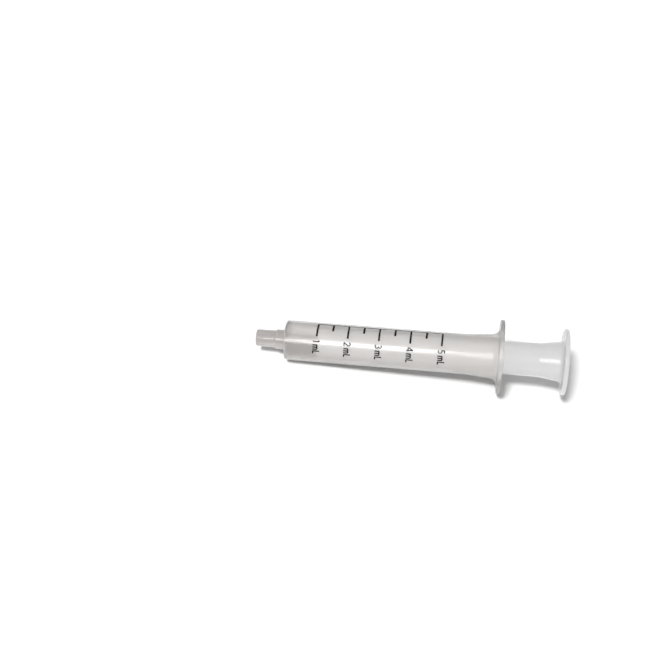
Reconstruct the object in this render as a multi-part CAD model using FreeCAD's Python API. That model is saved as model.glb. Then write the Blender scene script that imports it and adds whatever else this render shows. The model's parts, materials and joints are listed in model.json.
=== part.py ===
import FreeCAD, Part
import math
import os

# A 5 mL oral syringe in two mouldings, lying at rest on a flat surface.
#
# Sizes are in millimetres.  The syringe is drawn along its own axis first: "s" runs from the
# barrel's front shoulder (s = 0) towards the thumb end, and "r" is the distance from the axis.
# At the end every piece is tipped and lifted together, so that the syringe lies on its finger
# flange and on the barrel's front edge, with +Z up and the thumb end towards +X.

# ---------------------------------------------------------------- driving dimensions
bore_d = 11.2            # barrel bore, which sets the spacing of the scale
wall_t = 0.96            # barrel wall
front_wall_t = 0.8       # wall between the bore and the tip
ml_marks = 5             # the scale is numbered 1 to 5

tip_len = 9.9            # oral slip tip, ahead of the shoulder
tip_end_d = 5.6
tip_root_d = 5.8
tip_bore_d = 2.0
tip_round = 0.35
tip_bore_round = 0.15    # mouth of the tip's bore
collar_len = 3.3         # thicker root of the tip
collar_d = 6.5           # at its front edge
collar_root_d = 6.6
collar_step = 0.2        # slope and fillets of its front edge

flange_s = 69.7          # front face of the round finger flange
flange_t = 1.4           # at its rim
flange_root_t = 1.75     # and at the bore: its rear face is drafted
flange_d = 24.0
flare_len = 10.0         # corner of the trumpet flare, measured back from the flange
flare_slope = 5.0        # degrees, at the flange
flare_round = 40.0
flare_root_round = 2.3   # fillet between the flare and the flange
mouth_round = 0.6        # rear mouth of the bore
bore_end_round = 0.3     # front end of the bore
seam_turn = 2.4          # degrees round the axis: keeps corners of a faceted copy off the ground

bead_s = 57.6            # retaining bead inside the bore
bead_height = 0.11
bead_len = 1.2

stem_d = 10.96           # plunger stem
seal_d = 11.16           # its two moulded-on seal ribs, 0.02 mm clear of the bore all round
seal_land = 0.8
seal_starts = (0.45, 3.0)
seal_ramp = 0.35
crown_bevel = 0.3        # between the front face and the first rib
stem_wall_t = 1.05
crown_t = 1.3            # closed front end of the hollow plunger
core_round = 0.8         # front end of the hollow
disc_s = 79.15           # front face of the thumb disc, from the plunger's front face
disc_t = 1.45
disc_d = 21.4
stem_flare_len = 7.4
stem_flare_slope = 8.5
stem_flare_round = 6.0
stem_root_round = 1.3    # fillet between the flare and the disc
core_mouth_round = 0.4   # rear mouth of the hollow

drawn_volume = 1.0       # mL between the front wall and the plunger at rest

ink_t = 0.03             # printed scale
ink_azimuth = 114.0      # baseline, degrees round the axis from -Y through +Z
long_arc = 48.8          # degrees of arc covered by a numbered line
half_arc = 28.6          # and by a half-millilitre line
long_line_w = 0.6
half_line_w = 0.66
baseline_w = 0.36
label_arc_start = 59.7   # degrees from the baseline to the start of each numeral
cap_height = 2.3
stroke_w = 0.34          # of the numerals
unit_stroke_w = 0.4      # of their unit
letter_gap = 0.13        # between characters, in cap heights
word_gap = 0.30          # between the numeral and its unit

edge_round = 0.5         # rims of the flange and the thumb disc
shoulder_round = 0.6     # front edge of the barrel

# ---------------------------------------------------------------- worked out from them
bore_r = bore_d / 2
barrel_r = bore_r + wall_t
ml_pitch = 1000.0 / (math.pi * bore_r ** 2)
plunger_s = front_wall_t + drawn_volume * ml_pitch
X_AXIS = FreeCAD.Vector(1, 0, 0)
ORIGIN = FreeCAD.Vector(0, 0, 0)


def rad(degrees):
    return math.radians(degrees)


def rounded_wire(corners):
    """Closed wire through (s, r, radius) corners, each rounded by a tangent arc of its radius."""
    count = len(corners)
    ends = []
    for i, (s, r, radius) in enumerate(corners):
        corner = FreeCAD.Vector(s, 0, r)
        if radius == 0:
            ends.append((corner, None, corner))
            continue
        before = FreeCAD.Vector(corners[i - 1][0], 0, corners[i - 1][1])
        after = FreeCAD.Vector(corners[(i + 1) % count][0], 0, corners[(i + 1) % count][1])
        back = (before - corner).normalize()
        ahead = (after - corner).normalize()
        half = back.getAngle(ahead) / 2
        reach = radius / math.tan(half)
        bisector = (back + ahead).normalize()
        middle = corner + bisector * (radius / math.sin(half) - radius)
        ends.append((corner + back * reach, middle, corner + ahead * reach))
    edges = []
    for i, (start, middle, end) in enumerate(ends):
        if middle is not None:
            edges.append(Part.Arc(start, middle, end).toShape())
        following = ends[(i + 1) % count][0]
        if end.distanceToPoint(following) > 1e-6:
            edges.append(Part.LineSegment(end, following).toShape())
    return Part.Wire(edges)


def turned(corners):
    """Solid of revolution about the syringe's axis."""
    return Part.Face(rounded_wire(corners)).revolve(ORIGIN, X_AXIS, 360)


def make_barrel():
    """Tip, shoulder, tube, trumpet flare and finger flange: one translucent moulding."""
    tip_bore_r = tip_bore_d / 2
    flange_end = flange_s + flange_t
    flare_r = barrel_r + flare_len * math.tan(rad(flare_slope))
    corners = [
        (-tip_len, tip_bore_r, tip_bore_round),
        (-tip_len, tip_end_d / 2, tip_round),
        (-collar_len - collar_step, tip_root_d / 2, collar_step),
        (-collar_len, collar_d / 2, collar_step),
        (0, collar_root_d / 2, tip_round),
        (0, barrel_r, shoulder_round),
        (flange_s - flare_len, barrel_r, flare_round),
        (flange_s, flare_r, flare_root_round),
        (flange_s, flange_d / 2, edge_round),
        (flange_end, flange_d / 2, edge_round),
        (flange_s + flange_root_t, bore_r, mouth_round),
        (bead_s + bead_len / 2, bore_r, 0),
        (bead_s + bead_len / 6, bore_r - bead_height, 0),
        (bead_s - bead_len / 6, bore_r - bead_height, 0),
        (bead_s - bead_len / 2, bore_r, 0),
        (front_wall_t, bore_r, bore_end_round),
        (front_wall_t, tip_bore_r, 0),
    ]
    barrel = turned(corners)
    barrel.rotate(ORIGIN, X_AXIS, seam_turn)
    return barrel


def make_plunger():
    """Hollow white moulding: closed crown with two seal ribs, stem, flare and thumb disc."""
    stem_r = stem_d / 2
    seal_r = seal_d / 2
    core_r = stem_r - stem_wall_t
    disc_end = disc_s + disc_t
    rise = stem_flare_len * math.tan(rad(stem_flare_slope))
    mouth_rise = (stem_flare_len + disc_t) * math.tan(rad(stem_flare_slope))
    corners = [(0, 0, 0), (0, stem_r - crown_bevel, 0)]
    for start in seal_starts:
        corners += [
            (start - seal_ramp, stem_r, 0),
            (start, seal_r, 0),
            (start + seal_land, seal_r, 0),
            (start + seal_land + seal_ramp, stem_r, 0),
        ]
    corners += [
        (disc_s - stem_flare_len, stem_r, stem_flare_round),
        (disc_s, stem_r + rise, stem_root_round),
        (disc_s, disc_d / 2, edge_round),
        (disc_end, disc_d / 2, edge_round),
        (disc_end, core_r + mouth_rise, core_mouth_round),
        (disc_s - stem_flare_len, core_r, stem_flare_round - stem_wall_t),
        (crown_t, core_r, core_round),
        (crown_t, 0, 0),
    ]
    plunger = turned(corners)
    plunger.translate(X_AXIS * plunger_s)
    return plunger


def ink_shell():
    """The thin layer on the outside of the barrel that all the printing is cut from."""
    outer = Part.makeCylinder(barrel_r + ink_t, flange_s, ORIGIN, X_AXIS)
    inner = Part.makeCylinder(barrel_r, flange_s, ORIGIN, X_AXIS)
    return outer.cut(inner)


def ink_patch(s_middle, width, arc_from, arc_to):
    """A printed bar: width along the axis, between two angles measured from the baseline."""
    corners = [
        FreeCAD.Vector(s_middle - width / 2, 0, barrel_r),
        FreeCAD.Vector(s_middle - width / 2, 0, barrel_r + ink_t),
        FreeCAD.Vector(s_middle + width / 2, 0, barrel_r + ink_t),
        FreeCAD.Vector(s_middle + width / 2, 0, barrel_r),
    ]
    section = Part.Face(Part.makePolygon(corners + corners[:1]))
    patch = section.revolve(ORIGIN, X_AXIS, arc_to - arc_from)
    # The section starts at the top (+Z, 90 degrees from -Y) and sweeps towards -Y.
    patch.rotate(ORIGIN, X_AXIS, 90.0 - ink_azimuth + arc_from)
    return patch


def mark_s(volume):
    """Place of a volume's line along the barrel."""
    return front_wall_t + volume * ml_pitch


def make_scale_lines():
    """Baseline with a line for each half millilitre from 1 to 5, as one connected print."""
    first = mark_s(1) - long_line_w / 2
    last = mark_s(ml_marks) + long_line_w / 2
    base_arc = math.degrees(baseline_w / barrel_r)
    lines = ink_patch((first + last) / 2, last - first, 0, base_arc)
    for step in range(2 * ml_marks - 1):
        volume = 1 + step / 2
        numbered = step % 2 == 0
        width = long_line_w if numbered else half_line_w
        arc = long_arc if numbered else half_arc
        lines = lines.fuse(ink_patch(mark_s(volume), width, 0, arc))
    return lines.removeSplitter()


# Glyphs are drawn in their own plane, in units of the cap height: x to the right, y up.
# ("line", x0, y0, x1, y1) is a straight stroke; ("arc", cx, cy, rx, ry, a0, a1) is an elliptical
# one, between two angles in degrees.  Each glyph has its width.
GLYPHS = {
    "1": (0.36, [("line", 0.22, 0, 0.22, 1), ("line", 0.22, 0.98, 0.02, 0.80)]),
    "2": (0.56, [("arc", 0.27, 0.73, 0.22, 0.21, 165, -42), ("line", 0.43, 0.59, 0.06, 0.07),
                 ("line", 0.02, 0.06, 0.54, 0.06)]),
    "3": (0.54, [("arc", 0.24, 0.73, 0.20, 0.20, 150, -90),
                 ("arc", 0.23, 0.29, 0.24, 0.24, 90, -150)]),
    "4": (0.58, [("line", 0.42, 0, 0.42, 0.98), ("line", 0.42, 0.96, 0.03, 0.30),
                 ("line", 0.02, 0.28, 0.56, 0.28)]),
    "5": (0.54, [("line", 0.48, 0.94, 0.10, 0.94), ("line", 0.11, 0.96, 0.08, 0.52),
                 ("arc", 0.24, 0.32, 0.24, 0.26, 125, -150)]),
    "m": (0.76, [("line", 0.06, 0, 0.06, 0.70), ("arc", 0.215, 0.48, 0.155, 0.18, 180, 0),
                 ("line", 0.37, 0, 0.37, 0.50), ("arc", 0.525, 0.48, 0.155, 0.18, 180, 0),
                 ("line", 0.68, 0, 0.68, 0.50)]),
    "L": (0.48, [("line", 0.07, 0, 0.07, 1), ("line", 0.02, 0.06, 0.48, 0.06)]),
}
ARC_STEPS = 12           # corners along a curved stroke
BLOCK_REACH = 1.0        # each character's block runs this far either side of the barrel's surface


def glyph_point(x, y, width):
    """A glyph's point, laid out flat: x runs towards -Y, y towards +X, both in millimetres."""
    return FreeCAD.Vector((y - 0.5) * cap_height, (width / 2 - x) * cap_height, 0)


def stroke_outline(stroke, half_w):
    """Corners of one stroke, half_w either side of its middle line, in units of the cap height."""
    if stroke[0] == "line":
        x0, y0, x1, y1 = stroke[1:]
        length = math.hypot(x1 - x0, y1 - y0)
        across_x = -(y1 - y0) / length * half_w
        across_y = (x1 - x0) / length * half_w
        return [
            (x0 + across_x, y0 + across_y),
            (x1 + across_x, y1 + across_y),
            (x1 - across_x, y1 - across_y),
            (x0 - across_x, y0 - across_y),
        ]
    cx, cy, rx, ry, start, end = stroke[1:]
    turns = [rad(start + (end - start) * i / ARC_STEPS) for i in range(ARC_STEPS + 1)]
    outer = [(cx + (rx + half_w) * math.cos(a), cy + (ry + half_w) * math.sin(a)) for a in turns]
    inner = [(cx + (rx - half_w) * math.cos(a), cy + (ry - half_w) * math.sin(a)) for a in turns]
    return outer + inner[::-1]


def glyph_block(name):
    """Upright block in a character's outline, through the ink layer at the top of the barrel."""
    width, strokes = GLYPHS[name]
    half_w = (stroke_w if name.isdigit() else unit_stroke_w) / cap_height / 2
    block = None
    for stroke in strokes:
        outline = [glyph_point(x, y, width) for x, y in stroke_outline(stroke, half_w)]
        face = Part.Face(Part.makePolygon(outline + outline[:1]))
        face.translate(FreeCAD.Vector(0, 0, barrel_r - BLOCK_REACH))
        bar = face.extrude(FreeCAD.Vector(0, 0, 2 * BLOCK_REACH))
        block = bar if block is None else block.fuse(bar)
    return block.removeSplitter()


def make_scale_numerals():
    """A numeral and "mL" beside each numbered line, read round the barrel, tops to the thumb end."""
    shell = ink_shell()
    blocks = {name: glyph_block(name) for name in GLYPHS}
    solids = []
    for volume in range(1, ml_marks + 1):
        advance = 0
        for name, gap in ((str(volume), word_gap), ("m", letter_gap), ("L", 0)):
            width = GLYPHS[name][0]
            arc = label_arc_start + math.degrees((advance + width / 2) * cap_height / barrel_r)
            block = blocks[name].copy()
            block.translate(X_AXIS * mark_s(volume))
            block.rotate(ORIGIN, X_AXIS, 90.0 - ink_azimuth + arc)
            solids += block.common(shell).Solids
            advance += width + gap
    return Part.makeCompound(solids)


def rest_placement():
    """Tips the syringe onto its flange and front edge, and centres its box over the origin.

    A rounded edge is a torus, and its middle circle is one radius inside the corner.
    """
    front_s = shoulder_round
    front_r = barrel_r - shoulder_round
    rise = (flange_d / 2 - edge_round) - front_r
    run = (flange_s + edge_round) - front_s
    slack = math.asin((shoulder_round - edge_round) / math.hypot(rise, run))
    tilt = math.atan2(rise, run) - slack
    drop = front_s * math.sin(tilt) - front_r * math.cos(tilt) - shoulder_round
    tip_s = tip_round - tip_len
    tip_r = tip_end_d / 2 - tip_round
    low_x = tip_s * math.cos(tilt) - tip_r * math.sin(tilt) - tip_round
    disc_s_middle = plunger_s + disc_s + disc_t - edge_round
    disc_r_middle = disc_d / 2 - edge_round
    high_x = disc_s_middle * math.cos(tilt) + disc_r_middle * math.sin(tilt) + edge_round
    turn = FreeCAD.Rotation(FreeCAD.Vector(0, 1, 0), -math.degrees(tilt))
    shift = FreeCAD.Vector(-(low_x + high_x) / 2, 0, -drop)
    return FreeCAD.Placement(shift, turn)


def main():
    os.makedirs("parts", exist_ok=True)
    place = rest_placement()
    nodes = {
        "barrel": make_barrel(),
        "plunger": make_plunger(),
        "scale_lines": make_scale_lines(),
        "scale_numerals": make_scale_numerals(),
    }
    for name, shape in nodes.items():
        shape.Placement = place.multiply(shape.Placement)
        shape.exportStep("parts/" + name + ".step")
        print(name, "solids", len(shape.Solids), "valid", shape.isValid())
        print("    volume %.2f mm3" % shape.Volume, shape.BoundBox)


main()
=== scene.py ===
import json
import math

import bmesh
import bpy
from mathutils import Matrix, Vector


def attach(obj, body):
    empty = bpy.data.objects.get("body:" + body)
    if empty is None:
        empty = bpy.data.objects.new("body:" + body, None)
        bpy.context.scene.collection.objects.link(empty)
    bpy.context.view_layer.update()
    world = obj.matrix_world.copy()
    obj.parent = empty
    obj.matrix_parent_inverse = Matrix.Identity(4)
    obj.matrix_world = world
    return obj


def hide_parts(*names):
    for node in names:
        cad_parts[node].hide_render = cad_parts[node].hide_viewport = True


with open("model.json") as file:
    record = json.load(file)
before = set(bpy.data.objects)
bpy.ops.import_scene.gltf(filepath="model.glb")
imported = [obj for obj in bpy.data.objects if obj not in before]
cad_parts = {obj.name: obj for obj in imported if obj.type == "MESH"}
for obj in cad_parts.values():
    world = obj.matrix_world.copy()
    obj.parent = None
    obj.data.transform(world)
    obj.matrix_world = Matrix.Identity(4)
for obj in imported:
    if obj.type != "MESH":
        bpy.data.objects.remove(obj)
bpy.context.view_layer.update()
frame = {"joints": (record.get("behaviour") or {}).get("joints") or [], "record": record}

scene = bpy.context.scene
record = frame["record"]
MM = 0.001


# ------------------------------------------------------------------ the syringe's own axis
# "s" runs along the axis from the barrel's front shoulder to the thumb end, "r" is the distance
# from it.  Each piece is built along its own X axis and placed by LAY, in the frame of the CAD.
tip_len = 9.9
slide = Vector(frame["joints"][0]["axis"]).normalized()
tip_end = next(Vector(m["pos_m"]) for m in record["mounts"] if m["name"] == "slip_tip")
side = Vector((0, 1, 0))
up = slide.cross(side)
start = tip_end + slide * (tip_len * MM)
LAY = Matrix((
    (slide.x, side.x, up.x, start.x),
    (slide.y, side.y, up.y, start.y),
    (slide.z, side.z, up.z, start.z),
    (0, 0, 0, 1),
))

# ------------------------------------------------------------------ sizes, in mm
bore_d = 11.2
barrel_d = 13.12
front_wall_t = 0.8
tip_end_d = 5.6
tip_root_d = 5.8
tip_bore_d = 2.0
tip_round = 0.35
tip_bore_round = 0.15
collar_len = 3.3
collar_d = 6.5
collar_root_d = 6.6
collar_step = 0.2
flange_s = 69.7
flange_t = 1.4
flange_root_t = 1.75
flange_d = 24.0
flare_len = 10.0
flare_slope = 5.0
flare_round = 40.0
flare_root_round = 2.3
mouth_round = 0.6
bore_end_round = 0.3
bead_s = 57.6
bead_height = 0.11
bead_len = 1.2
bead_blend = 0.4         # softens the bead's corners
stem_d = 10.96
seal_d = 11.16
seal_starts = (0.45, 3.0)
seal_land = 0.8
seal_ramp = 0.35
seal_front_round = 0.05  # roundings of each rib's front foot, top and rear foot
seal_round = 0.2
seal_rear_round = 0.1
crown_bevel = 0.3
crown_round = 0.15
crown_t = 1.3            # closed front end of the hollow plunger
core_round = 0.8
core_mouth_round = 0.4
disc_s = 79.15           # front face of the thumb disc, from the plunger's front face
disc_t = 1.45
disc_d = 21.4
stem_wall_t = 1.05
stem_flare_len = 7.4
stem_flare_slope = 8.5
stem_flare_round = 6.0
stem_root_round = 1.3
edge_round = 0.5         # rims of the flange and the thumb disc
shoulder_round = 0.6     # front edge of the barrel
ml_marks = 5             # the scale is numbered 1 to 5
ml_pitch = 1000 / (math.pi * (bore_d / 2) ** 2)
plunger_s = front_wall_t + ml_pitch

ink_azimuth = 114.0      # degrees round the axis from -Y through +Z
long_arc = 48.8          # degrees covered by a numbered line
half_arc = 28.6          # and by a half-millilitre line
long_line_w = 0.6
half_line_w = 0.66
baseline_w = 0.36
label_arc_start = 59.7   # degrees from the baseline to the start of each numeral
cap_height = 2.3
stroke_w = 0.34          # of the numerals
unit_stroke_w = 0.4      # of their unit
ink_t = 0.02
ink_lift = 0.002         # between strokes that cross, so that no two faces coincide
ink_sink = 0.004         # of the print's underside into the barrel
ink_corner = 0.1         # rounding of a stroke's ends
ink_cut = 0.25           # longest straight piece of a stroke as it goes round the barrel
letter_gap = 0.13        # between characters, in cap heights
word_gap = 0.30          # between the numeral and its unit

SEGMENTS = 240           # round each moulding
CORNER_STEPS = 10        # along each rounded corner
CAP_STEPS = 4            # along each corner of a stroke's end
ARC_STEPS = 16           # along each curved stroke
SHARP_ANGLE = 35         # degrees between faces, over which their edge is not smoothed


def rounded(corners):
    """Points of a closed outline through (s, r, radius) corners, each rounded by a tangent arc."""
    points = []
    count = len(corners)
    for i, (s, r, radius) in enumerate(corners):
        corner = Vector((s, r))
        if radius == 0:
            points.append(corner)
            continue
        back = (Vector(corners[i - 1][:2]) - corner).normalized()
        ahead = (Vector(corners[(i + 1) % count][:2]) - corner).normalized()
        half = back.angle(ahead) / 2
        reach = radius / math.tan(half)
        centre = corner + (back + ahead).normalized() * (radius / math.sin(half))
        first = corner + back * reach - centre
        last = corner + ahead * reach - centre
        sweep = first.angle_signed(last)
        for k in range(CORNER_STEPS + 1):
            points.append(centre + Matrix.Rotation(-sweep * k / CORNER_STEPS, 2) @ first)
    return points


def add_piece(name, bm, body, node, material):
    """Makes a piece of the syringe, in place of a node of the CAD."""
    mesh = bpy.data.meshes.new(name)
    bmesh.ops.recalc_face_normals(bm, faces=bm.faces)
    bm.to_mesh(mesh)
    bm.free()
    mesh.transform(LAY)
    mesh.polygons.foreach_set("use_smooth", [True] * len(mesh.polygons))
    mesh.set_sharp_from_angle(angle=math.radians(SHARP_ANGLE))
    mesh.materials.append(material)
    piece = bpy.data.objects.new(name, mesh)
    scene.collection.objects.link(piece)
    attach(piece, body)
    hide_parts(node)
    return piece


def lathe(outline, offset=0.0):
    """Solid of revolution about X of an outline in mm; points at r = 0 become single poles."""
    bm = bmesh.new()
    rings = []
    for s, r in outline:
        if r < 1e-6:
            rings.append([bm.verts.new(((s + offset) * MM, 0, 0))])
            continue
        rings.append([
            bm.verts.new((
                (s + offset) * MM,
                -r * MM * math.cos(2 * math.pi * k / SEGMENTS),
                r * MM * math.sin(2 * math.pi * k / SEGMENTS),
            ))
            for k in range(SEGMENTS)
        ])
    for i, ring in enumerate(rings):
        following = rings[(i + 1) % len(rings)]
        if len(ring) == 1 and len(following) == 1:
            continue
        for k in range(SEGMENTS):
            j = (k + 1) % SEGMENTS
            if len(ring) == 1:
                bm.faces.new((ring[0], following[k], following[j]))
            elif len(following) == 1:
                bm.faces.new((ring[k], ring[j], following[0]))
            else:
                bm.faces.new((ring[k], ring[j], following[j], following[k]))
    return bm


# ------------------------------------------------------------------ materials
# Stretches of the axis, in metres, over which the barrel's material changes.
TIP_BLEND = (-0.0006, 0.0012)
FLARE_BLEND = (0.056, 0.061)


def new_material(name):
    """A Principled material, with coordinates along the syringe's axis (X) and across it."""
    material = bpy.data.materials.new(name)
    material.use_nodes = True
    tree = material.node_tree
    tree.nodes.clear()
    output = tree.nodes.new("ShaderNodeOutputMaterial")
    shader = tree.nodes.new("ShaderNodeBsdfPrincipled")
    tree.links.new(shader.outputs[0], output.inputs["Surface"])
    coords = tree.nodes.new("ShaderNodeTexCoord")
    unlay = tree.nodes.new("ShaderNodeMapping")
    unlay.inputs["Location"].default_value = LAY.inverted().translation
    unlay.inputs["Rotation"].default_value = LAY.inverted().to_euler()
    tree.links.new(coords.outputs["Object"], unlay.inputs["Vector"])
    return material, tree, shader, unlay.outputs[0]


def noise(tree, coords, scale, detail=3, stretch=(1, 1, 1)):
    """Noise that runs from 0 to 1, mostly between 0.3 and 0.7."""
    mapping = tree.nodes.new("ShaderNodeMapping")
    mapping.inputs["Scale"].default_value = stretch
    tree.links.new(coords, mapping.inputs["Vector"])
    node = tree.nodes.new("ShaderNodeTexNoise")
    node.inputs["Scale"].default_value = scale
    node.inputs["Detail"].default_value = detail
    tree.links.new(mapping.outputs[0], node.inputs["Vector"])
    return node.outputs["Fac"]


def between(tree, factor, low, high, over=(0.3, 0.7)):
    """A value from low to high as the factor crosses a range, and constant outside it."""
    node = tree.nodes.new("ShaderNodeMapRange")
    node.inputs["From Min"].default_value = over[0]
    node.inputs["From Max"].default_value = over[1]
    node.inputs["To Min"].default_value = low
    node.inputs["To Max"].default_value = high
    tree.links.new(factor, node.inputs["Value"])
    return node.outputs[0]


def colours(tree, factor, low, high):
    """A colour from low to high as the factor goes from 0.3 to 0.7."""
    node = tree.nodes.new("ShaderNodeValToRGB")
    node.color_ramp.elements[0].position = 0.3
    node.color_ramp.elements[1].position = 0.7
    node.color_ramp.elements[0].color = (*low, 1)
    node.color_ramp.elements[1].color = (*high, 1)
    tree.links.new(factor, node.inputs["Fac"])
    return node.outputs["Color"]


def mixed(tree, factor, first, second):
    """A colour from first to second as the factor goes from 0 to 1."""
    node = tree.nodes.new("ShaderNodeMix")
    node.data_type = "RGBA"
    colour_in = [s for s in node.inputs if s.type == "RGBA"]
    colour_out = next(s for s in node.outputs if s.type == "RGBA")
    tree.links.new(factor, node.inputs["Factor"])
    tree.links.new(first, colour_in[0])
    tree.links.new(second, colour_in[1])
    return colour_out


def bump(tree, height, distance, normal=None):
    """A bumped normal, with the height's full range worth that distance in metres."""
    node = tree.nodes.new("ShaderNodeBump")
    node.inputs["Distance"].default_value = distance
    node.inputs["Strength"].default_value = 1.0
    tree.links.new(height, node.inputs["Height"])
    if normal is not None:
        tree.links.new(normal, node.inputs["Normal"])
    return node.outputs[0]


def clear_plastic():
    """Natural polypropylene: milky, most of all in the thick tip, and satin at the flare."""
    material, tree, shader, coords = new_material("clear_plastic")
    split = tree.nodes.new("ShaderNodeSeparateXYZ")
    tree.links.new(coords, split.inputs[0])
    axial = split.outputs["X"]
    cloud = noise(tree, coords, 160, 4, (0.5, 1, 1))
    tube_colour = colours(tree, cloud, (0.92, 0.895, 0.88), (0.94, 0.92, 0.905))
    tip_colour = colours(tree, cloud, (0.575, 0.545, 0.53), (0.595, 0.57, 0.555))
    tree.links.new(mixed(tree, between(tree, axial, 1, 0, TIP_BLEND), tube_colour, tip_colour),
                   shader.inputs["Base Color"])
    grain = noise(tree, coords, 900, 3, (0.35, 1, 1))
    tree.links.new(between(tree, grain, 0.30, 0.36), shader.inputs["Roughness"])
    wave = bump(tree, noise(tree, coords, 110, 2, (0.3, 1, 1)), 0.000006)
    tree.links.new(bump(tree, noise(tree, coords, 4200, 4), 0.0000004, wave),
                   shader.inputs["Normal"])
    shader.inputs["IOR"].default_value = 1.49
    shader.inputs["Specular IOR Level"].default_value = 0.2
    tree.links.new(between(tree, axial, 0.45, 0.92, TIP_BLEND),
                   shader.inputs["Transmission Weight"])
    gloss = tree.nodes.new("ShaderNodeMath")
    gloss.operation = "MULTIPLY"
    tree.links.new(between(tree, axial, 1.0, 0.5, TIP_BLEND), gloss.inputs[0])
    tree.links.new(between(tree, axial, 1.0, 0.04, FLARE_BLEND), gloss.inputs[1])
    tree.links.new(gloss.outputs[0], shader.inputs["Coat Weight"])
    shader.inputs["Coat Roughness"].default_value = 0.07
    shader.inputs["Coat IOR"].default_value = 1.49
    return material


def white_plastic():
    """White polyethylene: satin, a little light passing into it."""
    material, tree, shader, coords = new_material("white_plastic")
    cloud = noise(tree, coords, 120, 4, (0.5, 1, 1))
    tree.links.new(colours(tree, cloud, (0.68, 0.68, 0.68), (0.71, 0.71, 0.71)),
                   shader.inputs["Base Color"])
    grain = noise(tree, coords, 1100, 3, (0.3, 1, 1))
    tree.links.new(between(tree, grain, 0.26, 0.36), shader.inputs["Roughness"])
    wave = bump(tree, noise(tree, coords, 130, 2, (0.3, 1, 1)), 0.000008)
    tree.links.new(bump(tree, noise(tree, coords, 4800, 4), 0.0000008, wave),
                   shader.inputs["Normal"])
    shader.inputs["IOR"].default_value = 1.51
    shader.inputs["Specular IOR Level"].default_value = 0.2
    shader.inputs["Coat Weight"].default_value = 0.5
    shader.inputs["Coat Roughness"].default_value = 0.09
    shader.inputs["Coat IOR"].default_value = 1.5
    shader.inputs["Subsurface Weight"].default_value = 0.25
    shader.inputs["Subsurface Radius"].default_value = (1.0, 0.95, 0.9)
    shader.inputs["Subsurface Scale"].default_value = 0.0012
    return material


def ink():
    """Black pad-printing ink, matt, with a fine tooth."""
    material, tree, shader, coords = new_material("ink")
    speck = noise(tree, coords, 5200, 3)
    tree.links.new(colours(tree, speck, (0.008, 0.007, 0.007), (0.030, 0.027, 0.026)),
                   shader.inputs["Base Color"])
    tree.links.new(between(tree, speck, 0.5, 0.7), shader.inputs["Roughness"])
    shader.inputs["Specular IOR Level"].default_value = 0.15
    tree.links.new(bump(tree, noise(tree, coords, 7000, 3), 0.000004), shader.inputs["Normal"])
    return material


# ------------------------------------------------------------------ barrel
def barrel_outline():
    """Tip, collar, tube, flare and finger flange, then back along the bore."""
    bore_r = bore_d / 2
    barrel_r = barrel_d / 2
    flange_end = flange_s + flange_t
    flare_r = barrel_r + flare_len * math.tan(math.radians(flare_slope))
    return rounded([
        (-tip_len, tip_bore_d / 2, tip_bore_round),
        (-tip_len, tip_end_d / 2, tip_round),
        (-collar_len - collar_step, tip_root_d / 2, collar_step),
        (-collar_len, collar_d / 2, collar_step),
        (0, collar_root_d / 2, tip_round),
        (0, barrel_r, shoulder_round),
        (flange_s - flare_len, barrel_r, flare_round),
        (flange_s, flare_r, flare_root_round),
        (flange_s, flange_d / 2, edge_round),
        (flange_end, flange_d / 2, edge_round),
        (flange_s + flange_root_t, bore_r, mouth_round),
        (bead_s + bead_len / 2, bore_r, bead_blend),
        (bead_s + bead_len / 6, bore_r - bead_height, bead_blend),
        (bead_s - bead_len / 6, bore_r - bead_height, bead_blend),
        (bead_s - bead_len / 2, bore_r, bead_blend),
        (front_wall_t, bore_r, bore_end_round),
        (front_wall_t, tip_bore_d / 2, 0),
    ])


def plunger_outline():
    """Crown, two seal ribs, stem, flare and thumb disc, then back along the hollow."""
    stem_r = stem_d / 2
    seal_r = seal_d / 2
    core_r = stem_r - stem_wall_t
    disc_end = disc_s + disc_t
    slope = math.tan(math.radians(stem_flare_slope))
    corners = [(0, 0, 0), (0, stem_r - crown_bevel, crown_round)]
    for first in seal_starts:
        corners += [
            (first - seal_ramp, stem_r, seal_front_round),
            (first, seal_r, seal_round),
            (first + seal_land, seal_r, seal_round),
            (first + seal_land + seal_ramp, stem_r, seal_rear_round),
        ]
    corners += [
        (disc_s - stem_flare_len, stem_r, stem_flare_round),
        (disc_s, stem_r + stem_flare_len * slope, stem_root_round),
        (disc_s, disc_d / 2, edge_round),
        (disc_end, disc_d / 2, edge_round),
        (disc_end, core_r + (stem_flare_len + disc_t) * slope, core_mouth_round),
        (disc_s - stem_flare_len, core_r, stem_flare_round - stem_wall_t),
        (crown_t, core_r, core_round),
        (crown_t, 0, 0),
    ]
    return rounded(corners)


# ------------------------------------------------------------------ printed scale
def on_barrel(along, arc, height):
    """A point in metres: along the axis in mm, arc in mm round from the baseline, height in mm."""
    angle = math.radians(ink_azimuth) - arc / (barrel_d / 2)
    r = barrel_d / 2 + height
    return Vector((along * MM, -r * MM * math.cos(angle), r * MM * math.sin(angle)))


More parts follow.
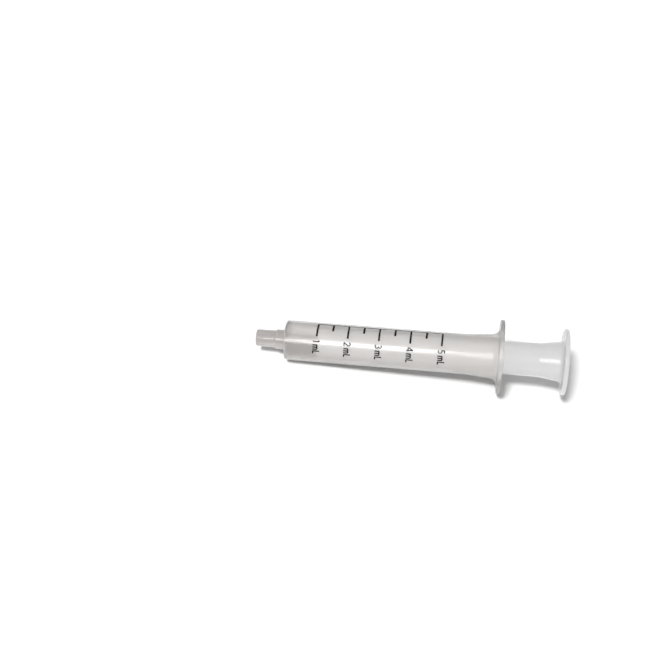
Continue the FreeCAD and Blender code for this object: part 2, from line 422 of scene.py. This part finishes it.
def ink_stroke(bm, path, width, height):
    """A printed stroke along a path of (along, arc) points in mm, with rounded ends."""
    half = width / 2
    points = [Vector(p) for p in path]
    fine = [points[0]]
    for a, b in zip(points, points[1:]):
        cuts = max(1, math.ceil((b - a).length / ink_cut))
        fine += [a.lerp(b, (k + 1) / cuts) for k in range(cuts)]
    left = []
    right = []
    for i, p in enumerate(fine):
        ahead = (fine[min(i + 1, len(fine) - 1)] - fine[max(i - 1, 0)]).normalized()
        normal = Vector((-ahead.y, ahead.x))
        left.append(p + normal * half)
        right.append(p - normal * half)
    first = (fine[1] - fine[0]).normalized()
    last = (fine[-1] - fine[-2]).normalized()
    corner = min(half, ink_corner)

    def end_cap(p, direction):
        """Rounded corners of a stroke's end, from one side to the other."""
        across = Vector((-direction.y, direction.x))
        turns = [math.pi / 2 * k / CAP_STEPS for k in range(CAP_STEPS + 1)]
        cap = []
        for a in turns:
            cap.append(p + direction * (corner * (math.sin(a) - 1)) +
                       across * (half - corner + corner * math.cos(a)))
        for a in turns:
            cap.append(p + direction * (corner * (math.cos(a) - 1)) -
                       across * (half - corner + corner * math.sin(a)))
        return cap

    outline = left[1:-1] + end_cap(fine[-1], last)
    outline += right[1:-1][::-1] + end_cap(fine[0], -first)
    top = [bm.verts.new(on_barrel(p.x, p.y, height)) for p in outline]
    base = [bm.verts.new(on_barrel(p.x, p.y, -ink_sink)) for p in outline]
    for i in range(len(outline)):
        j = (i + 1) % len(outline)
        bm.faces.new((top[i], top[j], base[j], base[i]))
    n = len(left) - 2
    cap_points = 2 * (CAP_STEPS + 1)
    body_left = top[:n]
    cap_end = top[n:n + cap_points]
    body_right = top[n + cap_points:n + cap_points + n][::-1]
    cap_start = top[n + cap_points + n:]
    for k in range(n - 1):
        bm.faces.new((body_left[k], body_left[k + 1], body_right[k + 1], body_right[k]))
    if n > 0:
        bm.faces.new([body_left[-1]] + cap_end + [body_right[-1]])
        bm.faces.new([body_right[0]] + cap_start + [body_left[0]])
    else:
        bm.faces.new(cap_end + cap_start)


def mark_s(volume):
    """Place of a volume's line along the barrel."""
    return front_wall_t + volume * ml_pitch


def build_scale_lines(material):
    """The baseline, with a line for each half millilitre from 1 to 5."""
    bm = bmesh.new()
    r = barrel_d / 2
    baseline = [
        (mark_s(1) - long_line_w / 2, baseline_w / 2),
        (mark_s(ml_marks) + long_line_w / 2, baseline_w / 2),
    ]
    ink_stroke(bm, baseline, baseline_w, ink_t)
    for step in range(2 * ml_marks - 1):
        numbered = step % 2 == 0
        width = long_line_w if numbered else half_line_w
        arc = math.radians(long_arc if numbered else half_arc) * r
        s = mark_s(1 + step / 2)
        ink_stroke(bm, [(s, 0), (s, arc)], width, ink_t + ink_lift)
    return add_piece("scale_print", bm, "barrel", "scale_lines", material)


def arc_path(cx, cy, rx, ry, a0, a1):
    """Points of an elliptical stroke, between two angles in degrees."""
    turns = [math.radians(a0 + (a1 - a0) * k / ARC_STEPS) for k in range(ARC_STEPS + 1)]
    return [(cx + rx * math.cos(a), cy + ry * math.sin(a)) for a in turns]


# Characters in units of the cap height, x to the right and y up: their width, then their strokes.
GLYPHS = {
    "1": (0.36, [[(0.02, 0.80), (0.22, 0.97)], [(0.22, 0), (0.22, 1)]]),
    "2": (0.56, [arc_path(0.27, 0.73, 0.22, 0.21, 165, -42) + [(0.06, 0.07)],
                 [(0.0, 0.06), (0.54, 0.06)]]),
    "3": (0.54, [arc_path(0.24, 0.73, 0.20, 0.20, 150, -90),
                 arc_path(0.23, 0.29, 0.24, 0.24, 90, -150)]),
    "4": (0.58, [[(0.42, 0), (0.42, 1)], [(0.42, 0.97), (0.03, 0.29)],
                 [(0.0, 0.28), (0.57, 0.28)]]),
    "5": (0.54, [[(0.49, 0.94), (0.10, 0.94)], [(0.11, 0.98), (0.08, 0.50)],
                 arc_path(0.24, 0.32, 0.24, 0.26, 125, -150)]),
    "m": (0.76, [[(0.06, 0), (0.06, 0.70)],
                 arc_path(0.215, 0.48, 0.155, 0.18, 180, 0) + [(0.37, 0)],
                 arc_path(0.525, 0.48, 0.155, 0.18, 180, 0) + [(0.68, 0)]]),
    "L": (0.48, [[(0.07, 0), (0.07, 1)], [(0.01, 0.06), (0.48, 0.06)]]),
}


def build_numerals(material):
    """A numeral and its unit beside each numbered line, read round the barrel."""
    bm = bmesh.new()
    r = barrel_d / 2
    for volume in range(1, ml_marks + 1):
        arc = math.radians(label_arc_start) * r
        for name, gap in ((str(volume), word_gap), ("m", letter_gap), ("L", 0)):
            width, strokes = GLYPHS[name]
            weight = stroke_w if name.isdigit() else unit_stroke_w
            for lift, stroke in enumerate(strokes):
                path = [(mark_s(volume) + (y - 0.5) * cap_height, arc + x * cap_height)
                        for x, y in stroke]
                ink_stroke(bm, path, weight, ink_t + ink_lift * lift)
            arc += (width + gap) * cap_height
    return add_piece("numeral_print", bm, "barrel", "scale_numerals", material)


clear = clear_plastic()
white = white_plastic()
black = ink()
PIECES = [
    add_piece("barrel_moulding", lathe(barrel_outline()), "barrel", "barrel",
              clear),
    add_piece("plunger_moulding", lathe(plunger_outline(), plunger_s), "plunger", "plunger",
              white),
    build_scale_lines(black),
    build_numerals(black),
]
MIDDLE = start + Vector((38.5, 0, 1.5)) * MM     # of the syringe: the lamps aim at it
FLOOR_REACH = 1.5                                # metres from the middle to each side


# ------------------------------------------------------------------ floor, light and camera
def floor_material():
    """Pale matt paper."""
    material, tree, shader, coords = new_material("paper")
    cloud = noise(tree, coords, 40, 4)
    tree.links.new(colours(tree, cloud, (0.90, 0.90, 0.90), (0.92, 0.92, 0.92)),
                   shader.inputs["Base Color"])
    tree.links.new(between(tree, noise(tree, coords, 900, 3), 0.7, 0.9),
                   shader.inputs["Roughness"])
    tree.links.new(bump(tree, noise(tree, coords, 1500, 3), 0.00001), shader.inputs["Normal"])
    shader.inputs["Specular IOR Level"].default_value = 0.2
    return material


def build_floor():
    """A plain floor at z = 0."""
    bm = bmesh.new()
    bmesh.ops.create_grid(bm, x_segments=4, y_segments=4, size=FLOOR_REACH)
    mesh = bpy.data.meshes.new("floor")
    bm.to_mesh(mesh)
    bm.free()
    mesh.materials.append(floor_material())
    floor = bpy.data.objects.new("floor", mesh)
    scene.collection.objects.link(floor)


def aimed(position, target, roll=0.0):
    """World matrix of a lamp or camera at position, looking at target."""
    turn = (target - position).to_track_quat("-Z", "Y").to_matrix().to_4x4()
    return Matrix.Translation(position) @ turn @ Matrix.Rotation(math.radians(roll), 4, "Z")


def from_bearing(elevation, azimuth, distance):
    """A point that far from the syringe's middle; azimuth is from -Y towards +X, in degrees."""
    level = math.cos(math.radians(elevation)) * distance
    turn = math.radians(azimuth)
    return MIDDLE + Vector((
        level * math.sin(turn),
        -level * math.cos(turn),
        math.sin(math.radians(elevation)) * distance,
    ))


def add_lamp(name, kind, elevation, azimuth, distance, power, lights=None):
    """A lamp aimed at the syringe's middle; it lights only the collection lights, if given."""
    lamp = bpy.data.lights.new(name, kind)
    lamp.energy = power
    holder = bpy.data.objects.new(name, lamp)
    scene.collection.objects.link(holder)
    holder.matrix_world = aimed(from_bearing(elevation, azimuth, distance), MIDDLE)
    if lights is not None:
        holder.light_linking.receiver_collection = lights
    return holder


def add_lights():
    """A soft sun for the floor, two for the syringe, and a card that only reflects.

    Of the syringe's own pieces, the plunger alone casts a shadow on it.  The barrel's would be
    opaque, because the renderer has no caustics.
    """
    sun_distance = 0.8      # has no effect on a sun's light
    sun_spread = 12         # degrees: how soft its shadows are
    stage_only = bpy.data.collections.new("stage_only")
    stage_only.objects.link(bpy.data.objects["floor"])
    syringe_only = bpy.data.collections.new("syringe_only")
    for piece in PIECES:
        syringe_only.objects.link(piece)
    plunger_only = bpy.data.collections.new("plunger_only")
    plunger_only.objects.link(bpy.data.objects["plunger_moulding"])
    for name, elevation, azimuth, power, lights, blockers in (
        ("floor_key", 61, -30, 3.0, stage_only, None),
        ("key", 72, -30, 1.8, syringe_only, plunger_only),
        ("front_fill", 15, 10, 0.36, syringe_only, plunger_only),
    ):
        lamp = add_lamp(name, "SUN", elevation, azimuth, sun_distance, power, lights)
        lamp.data.angle = math.radians(sun_spread)
        lamp.visible_glossy = False
        lamp.visible_transmission = False
        if blockers is not None:
            lamp.light_linking.blocker_collection = blockers
    card = add_lamp("sheen_card", "AREA", 46, -18, 0.62, 1.46)
    card.data.shape = "RECTANGLE"
    card.data.size = 0.204
    card.data.size_y = 0.25
    card.visible_diffuse = False


def add_world(strength):
    """An even white room."""
    world = bpy.data.worlds.new("studio")
    world.use_nodes = True
    background = world.node_tree.nodes["Background"]
    background.inputs["Color"].default_value = (1.0, 1.0, 1.0, 1)
    background.inputs["Strength"].default_value = strength
    scene.world = world


def add_camera():
    """The photograph's view: from above the syringe's near side, tip to the left."""
    azimuth = math.radians(-6.4)     # of the line of sight, from +Y towards +X
    elevation = math.radians(47.05)
    distance = 0.3594                # from the point in the middle of the view
    roll = 2.82                      # degrees
    aim = start + Vector((10.71, 9.9, 0)) * MM
    sight = Vector((
        math.sin(azimuth) * math.cos(elevation),
        math.cos(azimuth) * math.cos(elevation),
        -math.sin(elevation),
    ))
    camera = bpy.data.cameras.new("camera")
    camera.lens = 59.3
    camera.sensor_width = 36
    camera.clip_start = 0.01
    eye = bpy.data.objects.new("camera", camera)
    scene.collection.objects.link(eye)
    eye.matrix_world = aimed(aim - sight * distance, aim, roll)
    scene.camera = eye


build_floor()
add_world(0.40)
add_lights()
add_camera()
scene.view_settings.view_transform = "Standard"
